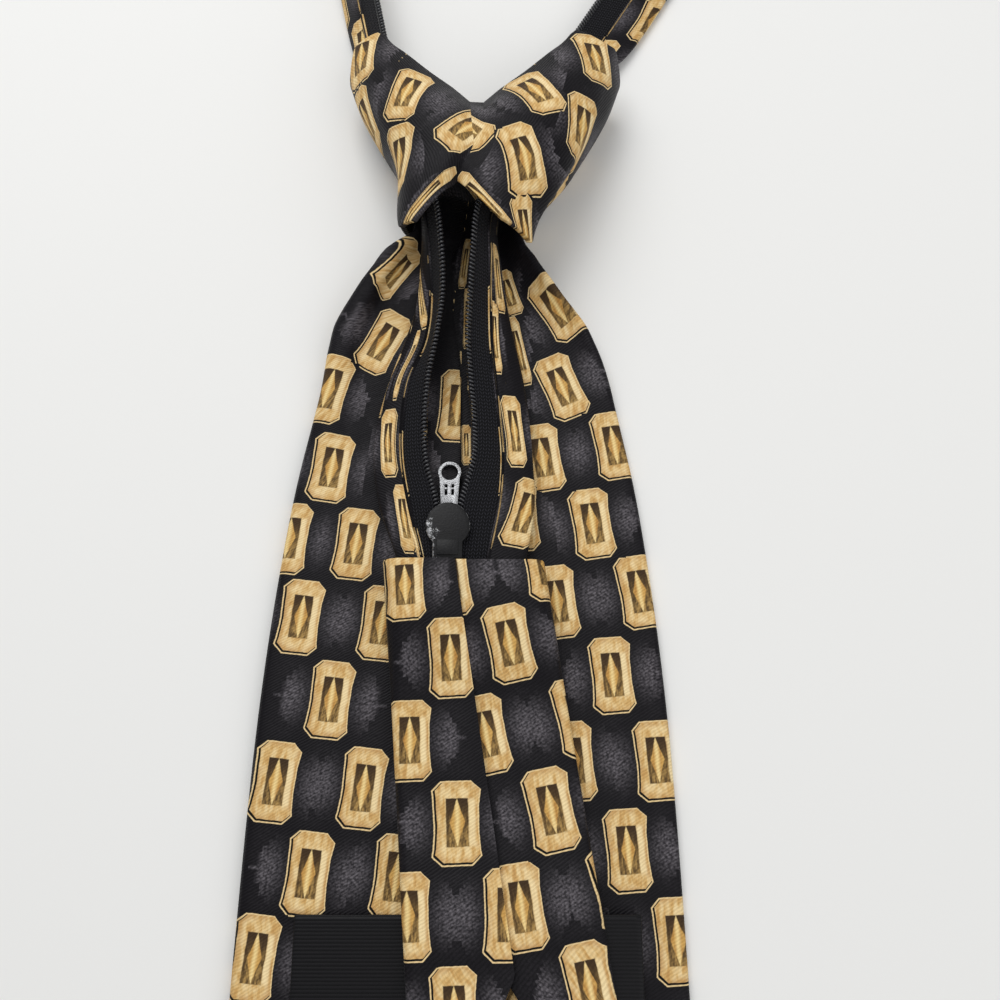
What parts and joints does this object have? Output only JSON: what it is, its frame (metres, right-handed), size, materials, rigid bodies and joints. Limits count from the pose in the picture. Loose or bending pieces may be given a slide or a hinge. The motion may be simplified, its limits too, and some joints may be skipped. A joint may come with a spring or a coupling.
{
  "type": "zipper tie",
  "caption": "Ready-tied necktie with a hollow knot, a zip-adjusted neck loop, a folded pointed blade and a short tail, lying face down.",
  "frame": {"origin": "point on the flat front of the blade, on its centre line, 60 mm short of the knot's mouth; the floor is z = 0", "axes": "+Y from the blade's point towards the neck loop, +Z out of the tie's back, +X to the right of the back seen from above"},
  "size_m": [0.1521, 0.7264, 0.0269],
  "materials": {
    "printed_silk": "near-black silk twill with a woven look and an all-over print of gold framed lozenges",
    "plain_lining": "plain black lining cloth",
    "label_ribbon": "ribbed black satin ribbon, bare",
    "zip_tape": "matt black woven zip tape",
    "zip_coil": "black nylon coil with a soft shine",
    "slider_paint": "black paint worn through to bare metal along its edges",
    "tab_metal": "bright metal with traces of worn black paint"
  },
  "bodies": {
    "tie": {"blade": "printed_silk", "tail": "printed_silk", "knot": "printed_silk", "neck_band_left": "printed_silk", "neck_band_right": "printed_silk", "blade_lining": "plain_lining", "tail_lining": "plain_lining", "label_loop": "label_ribbon", "zip_tape_left": "zip_tape", "zip_tape_right": "zip_tape", "zip_coil_left": "zip_coil", "zip_coil_right": "zip_coil", "slider_body": "slider_paint"},
    "pull_tab": {"pull_tab": "tab_metal"}
  },
  "joints": [
    {"name": "pull_tab_hinge", "type": "hinge", "parent": "tie", "child": "pull_tab", "pos_m": [-0.0035, -0.0112, 0.00535], "axis": [1, 0, 0], "range_deg": [0, 12]}
  ]
}
